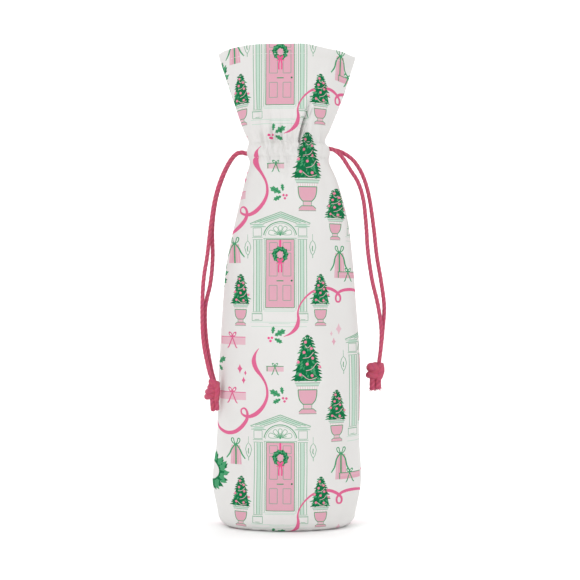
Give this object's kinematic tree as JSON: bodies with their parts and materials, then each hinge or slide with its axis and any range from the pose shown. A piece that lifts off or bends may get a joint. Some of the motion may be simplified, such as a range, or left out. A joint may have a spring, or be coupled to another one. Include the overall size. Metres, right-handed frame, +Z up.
{
  "type": "wine gift bag",
  "caption": "Tall cotton drawstring bag for a wine bottle, standing on a boxed oval base, with a gathered neck, a flared frill above it and a knotted cord hanging from each side.",
  "frame": {"origin": "centre of the base on the surface the bag stands on", "axes": "+Z up through the bag, -Y towards the front, +X towards the viewer's right when facing the front; the bag's width is along X and its depth along Y"},
  "size_m": [0.1367, 0.0906, 0.3463],
  "materials": {
    "printed_cotton": "matt plain-weave cotton, off-white, printed outside in pinks and greens",
    "plain_cotton": "matt unprinted cotton tape",
    "overlocked_edge": "matt cotton edges bound with white thread",
    "crimson_cotton_cord": "matt twisted cotton cord"
  },
  "bodies": {
    "bag": {"front_panel": "printed_cotton", "back_panel": "printed_cotton", "front_casing_tape": "plain_cotton", "back_casing_tape": "plain_cotton", "left_side_seam": "overlocked_edge", "right_side_seam": "overlocked_edge", "base_seam": "overlocked_edge", "left_corner_seam": "overlocked_edge", "right_corner_seam": "overlocked_edge", "left_cord_loop": "crimson_cotton_cord", "right_cord_loop": "crimson_cotton_cord"},
    "frill": {"front_frill": "printed_cotton", "back_frill": "printed_cotton"},
    "left_cord_root": {"left_cord_front_root": "crimson_cotton_cord", "left_cord_back_root": "crimson_cotton_cord"},
    "left_cord": {"left_cord_front_strand": "crimson_cotton_cord", "left_cord_back_strand": "crimson_cotton_cord", "left_knot": "crimson_cotton_cord", "left_cord_front_tail": "crimson_cotton_cord", "left_cord_back_tail": "crimson_cotton_cord"},
    "right_cord_root": {"right_cord_front_root": "crimson_cotton_cord", "right_cord_back_root": "crimson_cotton_cord"},
    "right_cord": {"right_cord_front_strand": "crimson_cotton_cord", "right_cord_back_strand": "crimson_cotton_cord", "right_knot": "crimson_cotton_cord", "right_cord_front_tail": "crimson_cotton_cord", "right_cord_back_tail": "crimson_cotton_cord"}
  },
  "joints": [
    {"name": "frill_tilt", "type": "hinge", "parent": "bag", "child": "frill", "pos_m": [0, 0, 0.2786], "axis": [1, 0, 0], "range_deg": [-12, 12]},
    {"name": "left_cord_pull", "type": "slide", "parent": "bag", "child": "left_cord_root", "axis": [-1, 0, 0], "range_m": [0, 0.01]},
    {"name": "left_cord_swing", "type": "hinge", "parent": "left_cord_root", "child": "left_cord", "pos_m": [-0.0335, 0, 0.2703], "axis": [0, 1, 0], "range_deg": [0, 70]},
    {"name": "right_cord_pull", "type": "slide", "parent": "bag", "child": "right_cord_root", "axis": [1, 0, 0], "range_m": [0, 0.01]},
    {"name": "right_cord_swing", "type": "hinge", "parent": "right_cord_root", "child": "right_cord", "pos_m": [0.0335, 0, 0.2739], "axis": [0, -1, 0], "range_deg": [0, 70]}
  ]
}
